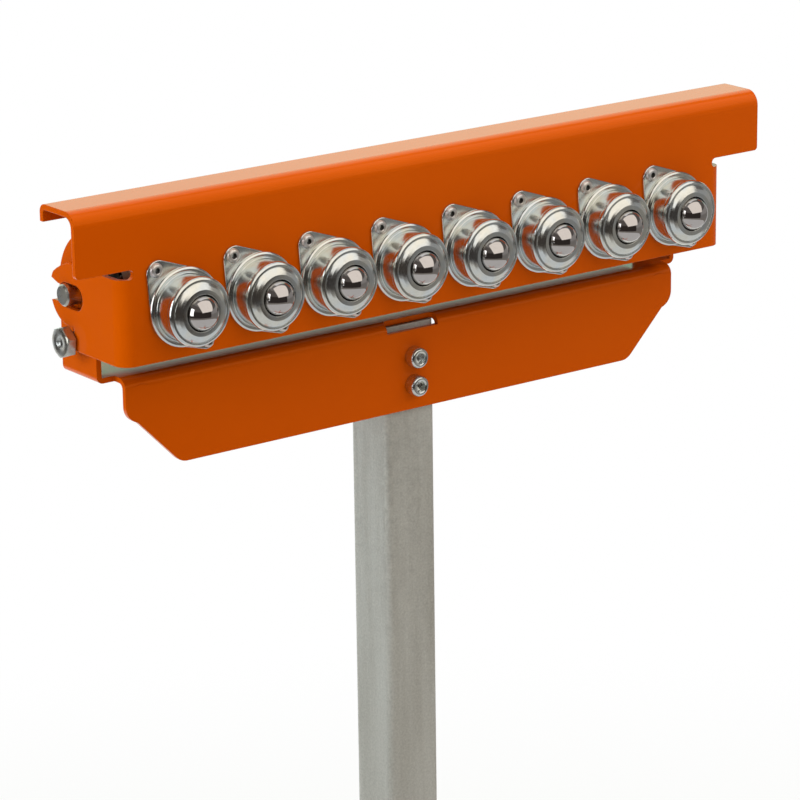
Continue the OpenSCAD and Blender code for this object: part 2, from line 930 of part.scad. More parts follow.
module clamp_weld_nut() {
    color(ORANGE)
        clamp_place()
            difference() {
                cylinder(r = weld_nut_r, h = weld_nut_h, $fn = round_fn);
                translate([0, 0, -over])
                    cylinder(r = clamp_d / 2 + fit, h = weld_nut_h + 2 * over, $fn = round_fn);
            }
}

module clamp_screw() {
    inward = column_wall + column_gap - fit;
    outward = weld_nut_h + knob_stand + knob_hub_h + knob_t / 2;
    color(ZINC)
        clamp_place()
            translate([0, 0, -inward])
                cylinder(r = clamp_d / 2, h = inward + outward, $fn = round_fn);
}

module clamp_knob() {
    start = weld_nut_h + knob_stand;
    lobe_r = knob_r * 0.42;
    color(BLACK)
        clamp_place()
            difference() {
                union() {
                    translate([0, 0, start])
                        cylinder(r = knob_hub_r, h = knob_hub_h + over, $fn = round_fn);
                    translate([0, 0, start + knob_hub_h])
                        linear_extrude(knob_t)
                            difference() {
                                circle(knob_r, $fn = 2 * round_fn);
                                for (k = [1:knob_lobes])
                                    translate(polar([0, 0], knob_r + lobe_r / 2, 360 * k / knob_lobes))
                                        circle(knob_scallop_r, $fn = round_fn);
                            }
                }
                translate([0, 0, start - over])
                    cylinder(r = clamp_d / 2, h = over + knob_hub_h + knob_t / 2, $fn = round_fn);
                translate([0, 0, start + knob_hub_h + knob_t - knob_dish])
                    cylinder(r = knob_dish_r, h = knob_dish + over, $fn = round_fn);
            }
}

// One leg's local frame: X outwards from the post, Y along the hinge
module leg_place(i) {
    rotate([0, 0, 90 * i])
        children();
}

// Extrudes an outline drawn in X and Z along Y, centred
module along_y(len) {
    translate([0, len / 2, 0])
        rotate([90, 0, 0])
            linear_extrude(len)
                children();
}

module hinge_bore(r) {
    translate([hinge_r, 0, hinge_z])
        rotate([90, 0, 0])
            cylinder(r = r, h = 2 * leg_w, center = true, $fn = round_fn);
}

module leg_hub() {
    lug_y = leg_w / 2 - leg_t - seat - lug_t / 2;
    color(ORANGE) {
        translate([0, 0, hub_low])
            square_tube(2 * hub_half, hub_wall, column_corner + hub_wall, hub_high - hub_low);
        for (i = [0:3])
            leg_place(i)
                difference() {
                    for (side = [-1, 1])
                        translate([0, side * lug_y, 0])
                            along_y(lug_t) {
                                translate([hub_half - over, hinge_z - lug_r])
                                    square([hinge_out + over, 2 * lug_r]);
                                translate([hinge_r, hinge_z])
                                    circle(lug_r, $fn = round_fn);
                            }
                    hinge_bore(hinge_bolt_r + fit);
                }
    }
}

module leg_bolts() {
    grip = leg_w / 2 + seat;
    color(ZINC)
        for (i = [0:3])
            leg_place(i)
                translate([hinge_r, 0, hinge_z])
                    rotate([-90, 0, 0]) {
                        translate([0, 0, -grip - hinge_head_h])
                            cylinder(r = hinge_af / sqrt(3), h = hinge_head_h, $fn = 6);
                        translate([0, 0, -grip])
                            cylinder(r = hinge_bolt_r, h = 2 * grip + hinge_nut_h + hinge_tail, $fn = round_fn);
                    }
}

module leg_nuts() {
    grip = leg_w / 2 + seat;
    color(ZINC)
        for (i = [0:3])
            leg_place(i)
                translate([hinge_r, grip, hinge_z])
                    rotate([-90, 0, 0])
                        difference() {
                            cylinder(r = hinge_af / sqrt(3), h = hinge_nut_h, $fn = 6);
                            translate([0, 0, -over])
                                cylinder(r = hinge_bolt_r + fit, h = hinge_nut_h + 2 * over, $fn = round_fn);
                        }
}

// Turns an outline drawn down a leg (X outwards from its face, Y up it) into its standing place
module leg_frame() {
    translate([hinge_r, hinge_z])
        rotate(leg_lean)
            children();
}

// Keeps only what lies above a height and outside the hub's face
module leg_bounds(low) {
    intersection() {
        children();
        translate([hub_half + seat, low])
            square(2 * leg_reach);
    }
}

// Side outline of a leg's flanges
module flange_outline() {
    leg_bounds(foot_sole)
        leg_frame() {
            circle(leg_head_r, $fn = round_fn);
            translate([0, 0])
                square([leg_out, leg_head_r]);
            translate([-leg_in, -leg_reach])
                square([leg_d, leg_reach]);
        }
}

// Side outline of a leg's web, which runs up past the hinge to bear on the hub
module web_outline() {
    leg_bounds(foot_sole)
        leg_frame()
            translate([leg_out - leg_t, -leg_reach])
                square([leg_t, 2 * leg_reach]);
}

module leg(i) {
    color(ORANGE)
        leg_place(i)
            difference() {
                union() {
                    along_y(leg_w)
                        web_outline();
                    for (side = [-1, 1])
                        translate([0, side * (leg_w - leg_t) / 2, 0])
                            along_y(leg_t)
                                flange_outline();
                }
                hinge_bore(hinge_bolt_r + fit);
            }
}

// Side outline of a foot or of the socket in it
module foot_outline(wall, low, up) {
    intersection() {
        leg_frame()
            translate([-leg_in - wall, -leg_reach])
                square([leg_d + 2 * wall, leg_reach]);
        translate([hinge_r, low])
            square([leg_reach, up - low]);
    }
}

module foot(i) {
    color(BLACK)
        leg_place(i)
            difference() {
                along_y(leg_w + 2 * foot_wall)
                    foot_outline(foot_wall, 0, foot_up);
                along_y(leg_w)
                    foot_outline(0, foot_sole, foot_up + over);
            }
}

head_cradle();
cup_rivets();
cup_seat_balls();
head_bracket();
bracket_screws();
bracket_nuts();
roller_tube();
roller_end_caps();
bearing_outer_rings();
bearing_inner_rings();
bearing_balls();
roller_axle();
axle_spacers();
axle_clips();
stop_pins();
stop_nuts();
inner_post();
post_glide();
outer_column();
column_collar();
column_end_cap();
clamp_weld_nut();
clamp_screw();
clamp_knob();
leg_hub();
leg_bolts();
leg_nuts();
for (i = [1:BALL_COUNT]) {
    ball_cup(i);
    ball(i);
}
for (i = [0:3]) {
    leg(i);
    foot(i);
}
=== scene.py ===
"""Looks for the roller stand.

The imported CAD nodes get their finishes, and turned and moulded pieces take the place of the small hardware.
"""

import math

import bmesh
import bpy
from mathutils import Matrix, Vector


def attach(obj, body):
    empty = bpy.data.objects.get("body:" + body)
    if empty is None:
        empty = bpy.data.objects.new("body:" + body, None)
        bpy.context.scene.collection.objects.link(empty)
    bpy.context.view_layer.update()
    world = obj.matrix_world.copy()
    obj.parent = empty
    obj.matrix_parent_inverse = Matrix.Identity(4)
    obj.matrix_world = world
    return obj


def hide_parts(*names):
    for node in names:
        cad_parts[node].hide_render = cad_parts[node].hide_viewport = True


MM = 0.001
TO_FRONT = (0, -1, 0)
UP_TO_FRONT = Matrix.Rotation(math.pi / 2, 4, "X")

# Turned pieces: steps round them, the degrees past which an edge is sharp, and millimetres from the axis that stand
# for a point on it; a fillet's steps, and the most that it takes of the edges beside it
SEGMENTS = 96
SHARP = 32
ON_AXIS = 0.001
FILLET_STEPS = 5
FILLET_SHARE = 0.48

# The camera that fits the photograph: place, forward direction, the sensor's right-hand direction, and millimetres
CAMERA_AT = Vector((-0.97966, -1.32807, 1.32509))
CAMERA_FORWARD = Vector((0.57021, 0.76947, -0.28769))
CAMERA_RIGHT = Vector((0.80100, -0.59851, -0.01320))
CAMERA_LENS = 164.8
SENSOR_WIDTH = 36

# Head of the stand, in metres in the row frame
AXLE_Y = 0.0056
PANEL_Y = -0.0379
SKIRT_Y = -0.0168
CHEEK_X = 0.172
ROW_Z = 0.9075
BALL_COUNT = 8
BALL_PITCH = 0.040

# Ball cups, in millimetres; ears and rivets are upper then lower: distance from the ball's axis, angle, radius
BALL_PROUD = 21.7
BALL_R = 7.94
BALL_H = BALL_PROUD - BALL_R
BALL_STEPS = 48
SEAT_R = BALL_R + 2.6
PLATE_R = 17.8
PLATE_T = 1.2
EAR_STEPS = 16
EARS = ((21.3, math.radians(127.5), 6.0), (20.2, math.radians(303), 4.2))
RIVETS = ((23.5, math.radians(127.5), 3.3), (21.2, math.radians(303), 2.6))
RIVET_FRONT = PLATE_T + 1.6

# Faces of a rivet that are in its eye, which get painted shade: nearer the axis than this, and between these heights
EYE_R = 1.25
EYE_BACK, EYE_FRONT = -4.2, PLATE_T + 1.2

# Screws: places in metres, spins in radians, sizes in millimetres
SCREW_Z = (0.8547, 0.8411)
SCREW_SPIN = (0.2, 0.55)
STOP_Z = 0.8880
STOP_GAP = 0.0004
STOP_SPIN = 0.35
HINGE_R = 0.0375
HINGE_Z = 0.240
HINGE_GRIP = 0.0153
HINGE_BOLT = 41.6
M6_KEY = 5
M8_FLATS = 13
KNURL_DEPTH = 0.12
KNURL_TEETH = 36
LEGS = ("right", "rear", "left", "front")

# Clamp knob: its back in metres; the grip's radius, and each scallop's radius and centre, in millimetres
KNOB_BACK = (0, 0.0345, 0.540)
LOBES = 5
GRIP_R = 24.0
SCALLOP_R = 9.0
SCALLOP_AT = GRIP_R + 5.04

# Kinds of node that most finishes use, the sockets of a Mix node for colours, and where most of a noise lies
NOISE, RANGE, MIX = "ShaderNodeTexNoise", "ShaderNodeMapRange", "ShaderNodeMix"
FACTOR, FIRST, SECOND, BLEND = 0, 6, 7, 2
MIDDLE = {"From Min": 0.3, "From Max": 0.7}

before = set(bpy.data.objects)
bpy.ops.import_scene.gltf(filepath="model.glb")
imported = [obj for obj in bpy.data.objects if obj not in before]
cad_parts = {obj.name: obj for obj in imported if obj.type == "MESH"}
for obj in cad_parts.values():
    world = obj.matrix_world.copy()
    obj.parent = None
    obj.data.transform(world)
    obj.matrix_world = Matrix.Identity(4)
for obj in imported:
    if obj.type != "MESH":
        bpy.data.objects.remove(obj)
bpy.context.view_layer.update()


# Materials

def srgb(code):
    """Linear colour of an sRGB hex value."""
    parts = [int(code[i:i + 2], 16) / 255 for i in (1, 3, 5)]
    return [p / 12.92 if p <= 0.04045 else ((p + 0.055) / 1.055) ** 2.4 for p in parts] + [1.0]


def add(tree, kind, settings, links=None):
    """Adds a node.

    Settings go to its attributes or, by socket name or number, to its inputs. A link comes from a socket, or from a
    node's first output.
    """
    node = tree.nodes.new(kind)
    for key, value in settings.items():
        if isinstance(key, str) and hasattr(node, key):
            setattr(node, key, value)
        else:
            node.inputs[key].default_value = value
    for key, source in (links or {}).items():
        if isinstance(source, bpy.types.Node):
            source = source.outputs[0]
        tree.links.new(source, node.inputs[key])
    return node


def new_material(name, **settings):
    """A material with a Principled shader that has these constant values."""
    material = bpy.data.materials.new(name)
    material.use_nodes = True
    tree = material.node_tree
    shader = tree.nodes["Principled BSDF"]
    for key, value in settings.items():
        shader.inputs[key.replace("_", " ")].default_value = value
    return material, tree, shader


def millimetres(tree, stretch=(1, 1, 1)):
    """Object coordinates with one unit to the millimetre, shrunk by stretch along each axis."""
    coord = add(tree, "ShaderNodeTexCoord", {})
    return add(tree, "ShaderNodeMapping", {"Scale": [1000 / s for s in stretch]}, {"Vector": coord.outputs["Object"]})


def coat(tree, shader, colour, gloss):
    """Leads a blend of colours and a range of roughness to the shader."""
    tree.links.new(colour.outputs[BLEND], shader.inputs["Base Color"])
    tree.links.new(gloss.outputs[0], shader.inputs["Roughness"])


def relief(tree, shader, height, depth, edge):
    """Bump of a depth in millimetres, over edges that look rounded to a radius in millimetres."""
    bevel = add(tree, "ShaderNodeBevel", {"samples": 6, "Radius": edge * MM})
    bump = add(tree, "ShaderNodeBump", {"Strength": 1.0, "Distance": depth * MM}, {"Height": height, "Normal": bevel})
    tree.links.new(bump.outputs[0], shader.inputs["Normal"])


def powder_coat():
    """Baked polyester powder on steel: even orange, glossy, with a faint orange-peel texture and thin edges."""
    material, tree, shader = new_material("orange_powder_coat", IOR=1.45, Specular_Tint=(1.0, 0.3, 0.03, 1.0))
    at = millimetres(tree)
    drift = add(tree, NOISE, {"Scale": 1 / 60, "Detail": 1}, {"Vector": at})
    flow = add(tree, NOISE, {"Scale": 1 / 12, "Detail": 2}, {"Vector": at})
    peel = add(tree, NOISE, {"Scale": 1 / 2.5, "Detail": 1}, {"Vector": at})
    colour = add(tree, MIX, {"data_type": "RGBA", FIRST: srgb("#BA4900"), SECOND: srgb("#C04E00")}, {FACTOR: drift})
    gloss = add(tree, RANGE, {"To Min": 0.1, "To Max": 0.17}, {"Value": flow})
    coat(tree, shader, colour, gloss)
    relief(tree, shader, peel, 0.008, 0.5)
    return material


def bright_zinc(name="bright_zinc_plate", light="#D9DEE0", dark="#C6CDCF", smooth=0.13, dull=0.24, depth=0.001):
    """Electroplated zinc on pressed steel: silver, faintly straw and blue, and hazy where the pressing drew it."""
    material, tree, shader = new_material(name, Metallic=1.0)
    at = millimetres(tree)
    haze = add(tree, NOISE, {"Scale": 1 / 3, "Detail": 3, "Roughness": 0.6}, {"Vector": at})
    clouds = add(tree, NOISE, {"Scale": 1 / 7, "Detail": 1}, {"Vector": at})
    bloom = add(tree, RANGE, {"From Min": 0.38, "From Max": 0.62}, {"Value": clouds})
    grain = add(tree, NOISE, {"Scale": 1 / 0.8, "Detail": 2}, {"Vector": at})
    tint = add(tree, MIX, {"data_type": "RGBA", FIRST: srgb("#E2DDC6"), SECOND: srgb("#CFD9DC")}, {FACTOR: bloom})
    plated = add(tree, MIX, {"data_type": "RGBA", FIRST: srgb(dark), SECOND: srgb(light)}, {FACTOR: haze})
    colour = add(tree, MIX, {"data_type": "RGBA", FACTOR: 0.35},
                 {FIRST: plated.outputs[BLEND], SECOND: tint.outputs[BLEND]})
    gloss = add(tree, RANGE, {"From Min": 0.25, "From Max": 0.75, "To Min": dull, "To Max": smooth}, {"Value": haze})
    coat(tree, shader, colour, gloss)
    relief(tree, shader, grain, depth, 0.2)
    return material


def machined_zinc():
    """Cold-headed and plated screws: duller than the cups, with fine turning marks."""
    return bright_zinc("zinc_plated_screw", "#C2C4C2", "#8E908E", 0.24, 0.38, 0.006)


def tumbled_steel():
    """Barrel-plated rivets: the same zinc, left satin and a little warm by tumbling."""
    return bright_zinc("tumbled_rivet", "#E6E0DF", "#D0CAC9", 0.36, 0.46, 0.002)


def painted_eye_shade():
    """Inside of a hollow rivet: painted nearly black as the shade in the hole."""
    material, tree, shader = new_material("rivet_eye_painted_shade", Metallic=0.3)
    at = millimetres(tree)
    # Nearly black colour with a faint mottle: painted shade inside the rivet's hole
    shade_mottle = add(tree, NOISE, {"Scale": 1, "Detail": 2}, {"Vector": at})
    gloss_mottle = add(tree, NOISE, {"Scale": 1 / 0.6, "Detail": 2}, {"Vector": at})
    colour = add(tree, MIX, {"data_type": "RGBA", FIRST: srgb("#2A2624"), SECOND: srgb("#3A3532")}, {FACTOR: shade_mottle})
    gloss = add(tree, RANGE, {**MIDDLE, "To Min": 0.5, "To Max": 0.7}, {"Value": gloss_mottle})
    coat(tree, shader, colour, gloss)
    return material


def galvanised():
    """Hot-dip galvanised tube: matt grey with a mottle of zinc crystals and faint drawing lines along its length."""
    material, tree, shader = new_material("galvanised_steel_tube", Metallic=0.5)
    at = millimetres(tree)
    along = millimetres(tree, (1, 1, 14))
    spangle = add(tree, "ShaderNodeTexVoronoi", {"Scale": 1 / 2.6, "Randomness": 1.0}, {"Vector": at})
    grain = add(tree, NOISE, {"Scale": 1 / 1.1, "Detail": 4, "Roughness": 0.65}, {"Vector": at})
    clouds = add(tree, NOISE, {"Scale": 1 / 9, "Detail": 3, "Roughness": 0.6}, {"Vector": along})
    crystals = add(tree, RANGE, {"From Min": 0.36, "From Max": 0.64}, {"Value": grain})
    streaks = add(tree, RANGE, {"From Min": 0.35, "From Max": 0.65}, {"Value": clouds})
    base = add(tree, MIX, {"data_type": "RGBA", FIRST: srgb("#98968E"), SECOND: srgb("#BCBAB1")}, {FACTOR: crystals})
    tint = add(tree, MIX, {"data_type": "RGBA", FIRST: srgb("#A09E94"), SECOND: srgb("#BABAB2")}, {FACTOR: streaks})
    colour = add(tree, MIX, {"data_type": "RGBA", FACTOR: 0.5},
                 {FIRST: base.outputs[BLEND], SECOND: tint.outputs[BLEND]})
    gloss = add(tree, RANGE, {"From Min": 0.2, "From Max": 0.8, "To Min": 0.38, "To Max": 0.56},
                {"Value": spangle.outputs["Color"]})
    coat(tree, shader, colour, gloss)
    relief(tree, shader, grain, 0.03, 0.6)
    return material


def ground_steel():
    """Hardened and ground ball: a near mirror with the darker tone of bare bearing steel."""
    material, tree, shader = new_material("ground_bearing_steel", Metallic=1.0)
    at = millimetres(tree)
    tone = add(tree, NOISE, {"Scale": 1 / 2, "Detail": 2}, {"Vector": at})
    lapping = add(tree, NOISE, {"Scale": 1 / 1.5, "Detail": 3}, {"Vector": at})
    colour = add(tree, MIX, {"data_type": "RGBA", FIRST: srgb("#B7B4B3"), SECOND: srgb("#BEBBBA")}, {FACTOR: tone})
    gloss = add(tree, RANGE, {**MIDDLE, "To Min": 0.05, "To Max": 0.08}, {"Value": lapping})
    coat(tree, shader, colour, gloss)
    return material


def roller_zinc():
    """Welded roller tube, turned true and zinc plated: fine rings round the tube catch the light."""
    material, tree, shader = new_material("turned_zinc_roller", Metallic=1.0)
    rings = add(tree, NOISE, {"Scale": 1 / 0.7, "Detail": 3, "Roughness": 0.7},
                {"Vector": millimetres(tree, (1, 30, 30))})
    haze = add(tree, NOISE, {"Scale": 1 / 14, "Detail": 3}, {"Vector": millimetres(tree)})
    colour = add(tree, MIX, {"data_type": "RGBA", FIRST: srgb("#B1B4B1"), SECOND: srgb("#CDD0CC")}, {FACTOR: haze})
    gloss = add(tree, RANGE, {**MIDDLE, "To Min": 0.24, "To Max": 0.4}, {"Value": rings})
    coat(tree, shader, colour, gloss)
    relief(tree, shader, rings, 0.01, 0.3)
    return material


def moulded_nylon():
    """Injection-moulded nylon with glass fibre: deep grey, spark-eroded matt grain."""
    material, tree, shader = new_material("black_moulded_nylon", IOR=1.52)
    at = millimetres(tree)
    tone = add(tree, NOISE, {"Scale": 1 / 9, "Detail": 2}, {"Vector": at})
    wear = add(tree, NOISE, {"Scale": 1 / 2, "Detail": 3}, {"Vector": at})
    grain = add(tree, NOISE, {"Scale": 1 / 0.6, "Detail": 2}, {"Vector": at})
    colour = add(tree, MIX, {"data_type": "RGBA", FIRST: srgb("#1D1D1F"), SECOND: srgb("#252527")}, {FACTOR: tone})
    gloss = add(tree, RANGE, {**MIDDLE, "To Min": 0.38, "To Max": 0.52}, {"Value": wear})
    coat(tree, shader, colour, gloss)
    relief(tree, shader, grain, 0.04, 0.6)
    return material


def moulded_rubber():
    """Moulded rubber: nearly black, very matt, greyed a little where dust sticks."""
    material, tree, shader = new_material("black_moulded_rubber", IOR=1.52)
    at = millimetres(tree)
    patches = add(tree, NOISE, {"Scale": 1 / 12, "Detail": 4, "Roughness": 0.6}, {"Vector": at})
    dust = add(tree, RANGE, {"From Min": 0.45, "From Max": 0.75}, {"Value": patches})
    wear = add(tree, NOISE, {"Scale": 1 / 3, "Detail": 3}, {"Vector": at})
    grain = add(tree, NOISE, {"Scale": 1 / 0.9, "Detail": 3}, {"Vector": at})
    colour = add(tree, MIX, {"data_type": "RGBA", FIRST: srgb("#19191A"), SECOND: srgb("#2C2B2A")}, {FACTOR: dust})
    gloss = add(tree, RANGE, {**MIDDLE, "To Min": 0.68, "To Max": 0.84}, {"Value": wear})
    coat(tree, shader, colour, gloss)
    relief(tree, shader, grain, 0.06, 0.9)
    return material


ORANGE = powder_coat()
ZINC = bright_zinc()
SCREW = machined_zinc()
RIVET = tumbled_steel()
# The material that follows paints shade into the rivets' eyes
EYE_SHADE = painted_eye_shade()
TUBE = galvanised()
BALL = ground_steel()
ROLLER = roller_zinc()
NYLON = moulded_nylon()
RUBBER = moulded_rubber()


# Shapes

def hex_ring(across):
    """Radius of a hexagon, across flats, at an angle."""
    return lambda a: across / 2 / math.cos((a + math.pi / 6) % (math.pi / 3) - math.pi / 6)


def capped(shape, r):
    """A ring that follows shape but never passes radius r."""
    return lambda a: min(shape(a), r)


def smaller(shape, d):
    """A ring that lies d inside shape."""
    return lambda a: shape(a) - d


def place(name, data):
    """A new object in the scene."""
    thing = bpy.data.objects.new(name, data)
    bpy.context.scene.collection.objects.link(thing)
    return thing


def finish_piece(name, mesh, material, sharp=SHARP):
    """A piece of the stand from its mesh, smooth but for its sharp edges, with its finish."""
    for face in mesh.polygons:
        face.use_smooth = True
    mesh.set_sharp_from_angle(angle=math.radians(sharp))
    mesh.materials.append(material)
    piece = place(name, mesh)
    return piece


def turned(name, rings, material, segments=SEGMENTS, sharp=SHARP):
    """A closed piece from rings (shape or radius, height) in millimetres, from its lowest centre to its highest."""
    mesh = bpy.data.meshes.new(name)
    points, faces = [], []
    for shape, z in rings:
        for k in range(segments):
            a = 2 * math.pi * k / segments
            r = shape(a) if callable(shape) else shape
            points.append((r * math.cos(a) * MM, r * math.sin(a) * MM, z * MM))
    for i in range(len(rings) - 1):
        for k in range(segments):
            j = (k + 1) % segments
            faces.append((i * segments + k, i * segments + j, (i + 1) * segments + j, (i + 1) * segments + k))
    for i, z in ((0, rings[0][1]), (len(rings) - 1, rings[-1][1])):
        points.append((0, 0, z * MM))
        for k in range(segments):
            pair = (i * segments + (k + 1) % segments, i * segments + k)
            faces.append((*(pair if i == 0 else pair[::-1]), len(points) - 1))
    mesh.from_pydata(points, [], faces)
    mesh.validate()
    mesh.update()
    return finish_piece(name, mesh, material, sharp)


def filleted(points):
    """Profile points (r, z, fillet radius) with an arc at each inner corner."""
    out = []
    for i, (r, z, fillet) in enumerate(points):
        here = Vector((r, z))
        if not fillet or i in (0, len(points) - 1):
            out.append((r, z))
            continue
        a = Vector(points[i - 1][:2]) - here
        b = Vector(points[i + 1][:2]) - here
        cut = min(fillet / math.tan(a.angle(b) / 2), a.length * FILLET_SHARE, b.length * FILLET_SHARE)
        start, end = here + a.normalized() * cut, here + b.normalized() * cut
        for k in range(FILLET_STEPS + 1):
            t = k / FILLET_STEPS
            p = start.lerp(here, t).lerp(here.lerp(end, t), t)
            out.append((p.x, p.y))
    return out


def lathe(name, points, material, segments=SEGMENTS, sharp=SHARP):
    """A turned piece from profile points (r, z, fillet), the first and last on its axis or closed by a disc."""
    return turned(name, [(max(r, ON_AXIS), z) for r, z in filleted(points)], material, segments, sharp)


def put(piece, at, normal, spin=0.0):
    """Stands a piece made along +Z at a place in the row frame, with +Z along normal, by moving its mesh."""
    normal = Vector(normal).normalized()
    turn = Vector((0, 0, 1)).rotation_difference(normal).to_matrix().to_4x4()
    piece.data.transform(Matrix.Translation(at) @ turn @ Matrix.Rotation(spin, 4, "Z"))
    piece.data.update()
    return piece


def joined(name, pieces):
    """One piece from several that share their body and slot."""
    first = pieces[0]
    work = bmesh.new()
    for piece in pieces:
        work.from_mesh(piece.data)
    work.to_mesh(first.data)
    work.free()
    for piece in pieces[1:]:
        bpy.data.objects.remove(piece)
    first.name = name
    return first


# Ball transfers

def plate_outline():
    """Outline of a cup's flange: a disc and two ears with their common tangents."""
    half = [math.acos((PLATE_R - r) / reach) for reach, _, r in EARS]
    out = []
    for i, (reach, lean, r) in enumerate(EARS):
        for k in range(EAR_STEPS + 1):
            a = lean + half[i] * (2 * k / EAR_STEPS - 1)
            out.append((reach * math.cos(lean) + r * math.cos(a), reach * math.sin(lean) + r * math.sin(a)))
        start = lean + half[i]
        end = EARS[1 - i][1] - half[1 - i] + 2 * math.pi * i
        for k in range(1, EAR_STEPS):
            a = start + (end - start) * k / EAR_STEPS
            out.append((PLATE_R * math.cos(a), PLATE_R * math.sin(a)))
    return out


def flange_plate():
    """The riveted flange: sheared sheet with rolled upper edges."""
    outline = plate_outline()
    levels = ((0, 0), (0, PLATE_T - 0.4), (0.1, PLATE_T - 0.15), (0.3, PLATE_T))
    count = len(outline)
    points, faces = [], []
    for inset, z in levels:
        for k, (x, y) in enumerate(outline):
            ax, ay = outline[k - 1]
            bx, by = outline[(k + 1) % count]
            n = Vector((by - ay, ax - bx)).normalized()
            points.append(((x - n.x * inset) * MM, (y - n.y * inset) * MM, z * MM))
    for i in range(len(levels) - 1):
        for k in range(count):
            j = (k + 1) % count
            faces.append((i * count + k, i * count + j, (i + 1) * count + j, (i + 1) * count + k))
    faces.append(tuple(range(count))[::-1])
    faces.append(tuple((len(levels) - 1) * count + k for k in range(count)))
    mesh = bpy.data.meshes.new("flange")
    mesh.from_pydata(points, [], faces)
    mesh.update()
    return mesh


def cup_profile():
    """Half section of a cup from its back, over its bead, barrel, rim and mouth, to the seat that holds the ball."""
    lean = [math.radians(15 * k) for k in range(5, -1, -1)]
    return [
        (0, 0.6, 0), (17.2, 0.6, 0), (17.95, 0.9, 0.3), (18.1, 1.5, 0.5), (17.8, 2.2, 0.6), (17.1, 2.6, 0.7),
        (16.2, 2.6, 0.6), (15.6, 2.4, 0.5), (15.4, 2.8, 0.4), (15.3, 3.4, 0.3), (14.4, 10.4, 0.2), (15.4, 10.65, 0.2),
        (15.6, 11.3, 0.6), (15.6, 12.7, 0.6), (15.25, 13.35, 0.5), (14.5, 13.75, 0.4), (13.78, 13.8, 0.06),
        (13.66, 13.5, 0.04), (13.5, 13.85, 0.06), (13.2, 14.2, 0.4), (12.1, 15.05, 1.5), (10.4, 15.72, 1.0),
        (8.35, 15.8, 0.25), (8.15, 15.2, 0.1), (7.98, 14.2, 0), (8.1, 13.95, 0), (9.6, 13.6, 0.3), (10.4, 12.7, 0.3),
        *((SEAT_R * math.sin(t), BALL_H - SEAT_R * math.cos(t), 0) for t in lean)]


def ball_profile():
    """Half section of a ball, from its lowest point to its highest."""
    lean = [math.pi * k / BALL_STEPS for k in range(1, BALL_STEPS)]
    return [(0, -BALL_R, 0), *((BALL_R * math.sin(t), -BALL_R * math.cos(t), 0) for t in lean), (0, BALL_R, 0)]


def rivet_profile(head):
    """Half section of a hollow rivet: its tail behind the panel, its shank and a domed head with an open eye."""
    return [
        (0, -4.7, 0), (2.5, -4.7, 0.5), (2.5, -2.6, 0.3), (1.6, -2.5, 0), (1.6, PLATE_T, 0), (head, PLATE_T, 0.1),
        (head, PLATE_T + 0.35, 0.3), (head * 0.85, RIVET_FRONT - 0.35, 0.5), (head * 0.64, RIVET_FRONT, 0.5),
        (head * 0.46, RIVET_FRONT - 0.05, 0.3), (1.3, RIVET_FRONT - 0.3, 0.15), (1.15, RIVET_FRONT - 1.0, 0.2),
        (1.0, -3.8, 0), (0, -3.9, 0)]


def hollow_rivet(head):
    """A rivet made along +Z, with the faces in its eye painted dark as shade."""
    rivet = lathe("rivet", rivet_profile(head), RIVET, segments=40)
    # The second material paints shade into the rivet's eye
    rivet.data.materials.append(EYE_SHADE)
    for face in rivet.data.polygons:
        x, y, z = face.center / MM
        if math.hypot(x, y) < EYE_R and EYE_BACK < z < EYE_FRONT:
            face.material_index = 1
    return rivet


def make_ball_transfers():
    """The row of cups with their flanges and rivets, and the ball in each."""
    rivets = []
    plate = flange_plate()
    for i in range(1, BALL_COUNT + 1):
        centre = Vector(((i - (BALL_COUNT + 1) / 2) * BALL_PITCH, PANEL_Y, ROW_Z))
        cup = lathe(f"cup_housing_{i}", cup_profile(), ZINC)
        flange = finish_piece(f"cup_flange_{i}", plate.copy(), ZINC)
        both = joined(f"cup_{i}", [cup, flange])
        both.data.transform(Matrix.Translation(centre) @ UP_TO_FRONT)
        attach(both, "head")
        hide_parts(f"ball_cup_{i}")
        for reach, a, head in RIVETS:
            rivet_at = centre + Vector((math.cos(a), 0, math.sin(a))) * reach * MM
            rivets.append(put(hollow_rivet(head), rivet_at, TO_FRONT))
        ball = lathe(f"transfer_ball_{i}", ball_profile(), BALL, sharp=60)
        ball.data.transform(Matrix.Translation(centre + Vector((0, -BALL_H * MM, 0))) @ UP_TO_FRONT)
        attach(ball, f"ball_{i}")
        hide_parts(f"ball_{i}")
    rivets = joined("hollow_rivets", rivets)
    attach(rivets, "head")
    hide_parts("cup_rivets")


# Screws

def knurled(r):
    """A ring with a fine straight knurl, a little coarser than the real one so that it shows."""
    return lambda a: r - KNURL_DEPTH + KNURL_DEPTH * math.cos(KNURL_TEETH * a)


def cap_screw():
    """Socket screw: shank, knurled head with a rounded upper edge, and a hex recess."""
    head, key = 4.95, hex_ring(M6_KEY)
    rings = [(3, -14), (3, 0), (knurled(head), 0), (knurled(head), 5.0), (head - 0.25, 5.3), (head - 0.55, 5.75),
             (head - 0.95, 5.97), (3.35, 6.0), (3.15, 5.9), (key, 5.7), (key, 3.2), (0.5, 2.6)]
    return turned("cap", rings, ZINC, segments=144, sharp=34)


def stop_screw():
    """Shoulder screw: shoulder, hex head with chamfered corners, and a dished top with a raised lip."""
    side = hex_ring(M8_FLATS)
    rings = [(3, -15.9), (3, -5.4), (4, -5.4), (4, 0), (6.2, 0), (side, 0.35), (side, 3.8), (capped(side, 7.0), 4.2),
             (capped(side, 6.4), 4.6), (5.9, 4.78), (2.9, 4.8), (2.5, 4.6), (1.9, 3.8), (1.2, 3.5), (0.4, 3.45)]
    return turned("stop", rings, SCREW, sharp=30)


def hinge_bolt():
    """Hex bolt of a leg: chamfered tip and head."""
    side = hex_ring(M8_FLATS)
    rings = [(3.4, -HINGE_BOLT), (4, -HINGE_BOLT + 0.8), (4, 0), (6.2, 0), (side, 0.35), (side, 4.4),
             (capped(side, 7.0), 4.8), (6.2, 5.25), (5.8, 5.3), (0.5, 5.3)]
    return turned("bolt", rings, SCREW, sharp=30)


